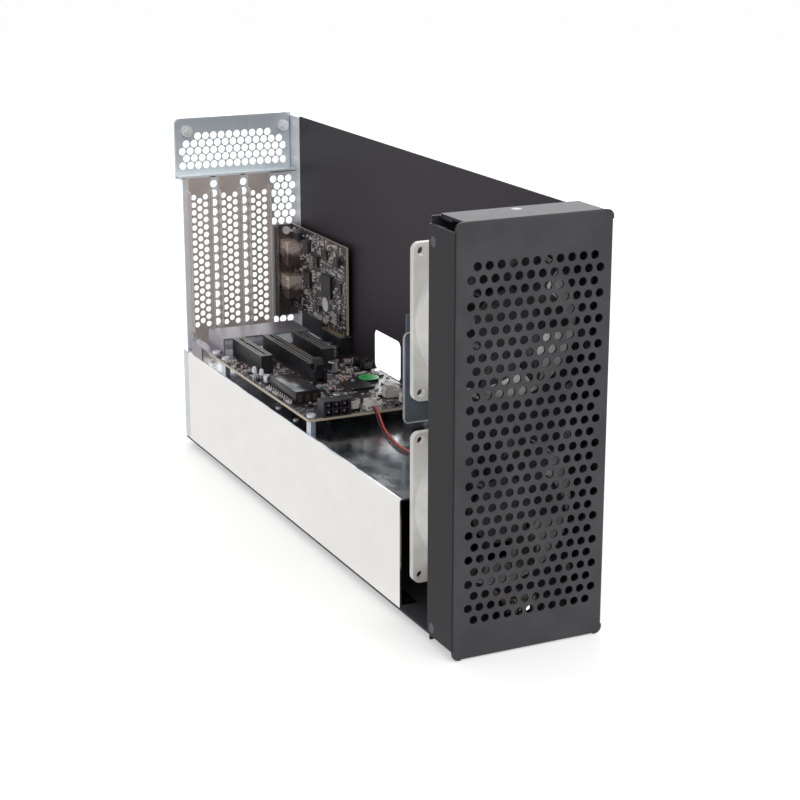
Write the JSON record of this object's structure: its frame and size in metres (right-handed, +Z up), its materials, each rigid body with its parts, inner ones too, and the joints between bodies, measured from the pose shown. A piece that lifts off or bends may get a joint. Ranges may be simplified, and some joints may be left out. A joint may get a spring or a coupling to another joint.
{
  "type": "pcie expansion chassis",
  "caption": "Open expansion chassis with perforated bezel, fans, zinc power supply box, backplane with card slots, host card and slot covers.",
  "frame": {"origin": "centre of the bounding box's bottom face", "axes": "+X to the right seen from the bezel, +Y from the bezel to the rear panel, +Z up"},
  "size_m": [0.0842, 0.409, 0.217],
  "materials": {
    "painted_black": "black powder coat, fine texture",
    "zinc_sheet": "electro-zinc plated sheet, smooth",
    "retainer_steel": "zinc plated sheet, duller",
    "cover_steel": "nickel plated sheet, warm grey",
    "bright_steel": "bright zinc plated steel",
    "black_screws": "black oxide",
    "fan_plastic": "moulded, light warm grey",
    "rotor_plastic": "moulded, black",
    "foot_rubber": "moulded rubber",
    "board_black": "glass-fibre laminate with black solder mask",
    "board_green": "glass-fibre laminate with green solder mask",
    "slot_plastic": "moulded nylon, black",
    "chip_black": "moulded epoxy",
    "can_metal": "drawn can, satin",
    "module_grey": "grey lid",
    "white_plastic": "moulded nylon, natural white",
    "lamp_clear": "clear epoxy lens",
    "brass_parts": "machined brass, plated",
    "bracket_black": "black coated sheet with bare cut edges",
    "supply_steel": "galvanised sheet and wire",
    "lead_red": "soft vinyl insulation, red",
    "lead_pink": "soft vinyl insulation, pink",
    "lead_black": "soft vinyl insulation, black"
  },
  "bodies": {
    "chassis": {"front_bezel": "painted_black", "fan_plate": "painted_black", "base_tray": "painted_black", "far_side_wall": "painted_black", "power_box": "zinc_sheet", "rear_panel": "zinc_sheet", "bridging_plate": "zinc_sheet", "retainer_plate": "retainer_steel", "slot_cover_1": "cover_steel", "slot_cover_2": "cover_steel", "slot_cover_3": "cover_steel", "deck_studs": "bright_steel", "panel_screws": "bright_steel", "thumb_nuts": "bright_steel", "board_screws": "bright_steel", "bridge_screws": "bright_steel", "bracket_screws": "bright_steel", "bezel_screws": "black_screws", "fan_screws": "black_screws", "upper_fan_frame": "fan_plastic", "lower_fan_frame": "fan_plastic", "supply_fan_frame": "rotor_plastic", "feet": "foot_rubber", "backplane_board": "board_black", "host_card_board": "board_black", "indicator_board": "board_green", "supply_board": "board_green", "slot_1": "slot_plastic", "slot_2": "slot_plastic", "slot_3": "slot_plastic", "host_slot": "slot_plastic", "power_connector": "slot_plastic", "connector_block": "slot_plastic", "mains_inlet": "slot_plastic", "board_chips": "chip_black", "host_parts": "chip_black", "capacitors": "can_metal", "host_ports": "can_metal", "power_module": "module_grey", "small_connectors": "white_plastic", "fan_plug": "white_plastic", "indicator_lamps": "lamp_clear", "standoffs": "brass_parts", "inlet_pins": "brass_parts", "mid_bracket": "bracket_black", "host_bracket": "bracket_black", "supply_case": "supply_steel", "supply_fan_guard": "supply_steel", "fan_lead_red": "lead_red", "block_lead_right": "lead_red", "block_lead_left": "lead_pink", "fan_lead_black": "lead_black"},
    "upper_fan": {"upper_fan_rotor": "rotor_plastic"},
    "lower_fan": {"lower_fan_rotor": "rotor_plastic"},
    "supply_fan": {"supply_fan_rotor": "rotor_plastic"},
    "latch": {"slot_latch": "slot_plastic"},
    "washer_left": {"thumb_washer_left": "bright_steel"},
    "washer_right": {"thumb_washer_right": "bright_steel"},
    "screw_left": {"thumbscrew_left": "bright_steel"},
    "screw_right": {"thumbscrew_right": "bright_steel"}
  },
  "joints": [
    {"name": "upper_fan_spin", "type": "hinge", "parent": "chassis", "child": "upper_fan", "pos_m": [0.0002, -0.16435, 0.1587], "axis": [0, 1, 0], "continuous": true},
    {"name": "lower_fan_spin", "type": "hinge", "parent": "chassis", "child": "lower_fan", "pos_m": [0.0002, -0.16435, 0.0629], "axis": [0, 1, 0], "continuous": true},
    {"name": "supply_fan_spin", "type": "hinge", "parent": "chassis", "child": "supply_fan", "pos_m": [-0.0085, 0.17415, 0.03345], "axis": [0, 1, 0], "continuous": true},
    {"name": "latch_release", "type": "hinge", "parent": "chassis", "child": "latch", "pos_m": [-0.00483, 0.04545, 0.0777], "axis": [1, 0, 0], "range_deg": [0, 35]},
    {"name": "washer_left_travel", "type": "slide", "parent": "chassis", "child": "washer_left", "axis": [0, 1, 0], "range_m": [0, 0.0035]},
    {"name": "screw_left_turn", "type": "hinge", "parent": "washer_left", "child": "screw_left", "pos_m": [-0.0318, 0.19685, 0.2059], "axis": [0, 1, 0], "range_deg": [0, 1801]},
    {"name": "washer_right_travel", "type": "slide", "parent": "chassis", "child": "washer_right", "axis": [0, 1, 0], "range_m": [0, 0.0035]},
    {"name": "screw_right_turn", "type": "hinge", "parent": "washer_right", "child": "screw_right", "pos_m": [0.0348, 0.19685, 0.2059], "axis": [0, 1, 0], "range_deg": [0, 1801]}
  ],
  "couplings": [
    {"joint": "screw_left_turn", "follows": "washer_left_travel", "rad_per_m": 8976},
    {"joint": "screw_right_turn", "follows": "washer_right_travel", "rad_per_m": 8976}
  ]
}
